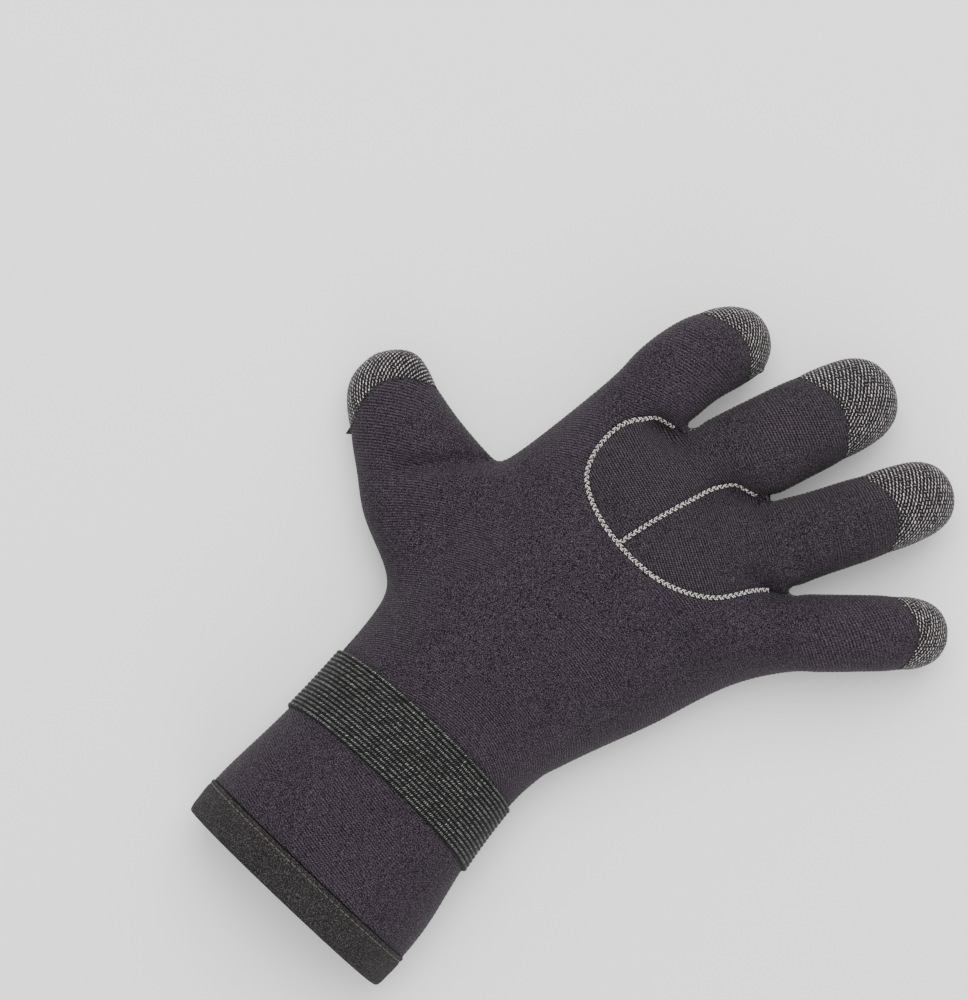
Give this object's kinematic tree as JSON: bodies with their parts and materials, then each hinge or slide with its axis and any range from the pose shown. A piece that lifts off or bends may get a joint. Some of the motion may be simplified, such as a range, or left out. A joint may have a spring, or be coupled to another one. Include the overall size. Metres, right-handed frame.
{
  "type": "diving glove",
  "caption": "Right-hand five-finger wet glove with neoprene back, knit palm, flared gauntlet, wrist strap and closure tab, lying palm down.",
  "frame": {"origin": "centre of the glove's bounding box in plan, on the surface that its palm lies on", "axes": "+Y runs from the gauntlet's mouth to the fingertips, +Z leaves the back of the hand, +X points to the little finger"},
  "size_m": [0.2298, 0.3138, 0.0534],
  "materials": {
    "neoprene": "matt jersey-faced neoprene",
    "knuckle_neoprene": "matt jersey-faced neoprene",
    "palm_knit": "flecked cut-proof knit",
    "hem": "brushed tape",
    "elastic": "ribbed elastic webbing",
    "hook": "hook tape",
    "tab": "finely ribbed tape"
  },
  "bodies": {
    "root": {"back_panel": "neoprene", "middle_finger_back": "knuckle_neoprene", "ring_finger_back": "knuckle_neoprene", "gauntlet_underside": "neoprene", "palm_panel": "palm_knit", "index_tip_cap": "palm_knit", "middle_tip_cap": "palm_knit", "ring_tip_cap": "palm_knit", "pinky_tip_cap": "palm_knit", "thumb_tip_cap": "palm_knit", "hem_band": "hem", "wrist_strap": "elastic", "hook_pad": "hook", "closure_tab": "tab"}
  },
  "joints": []
}
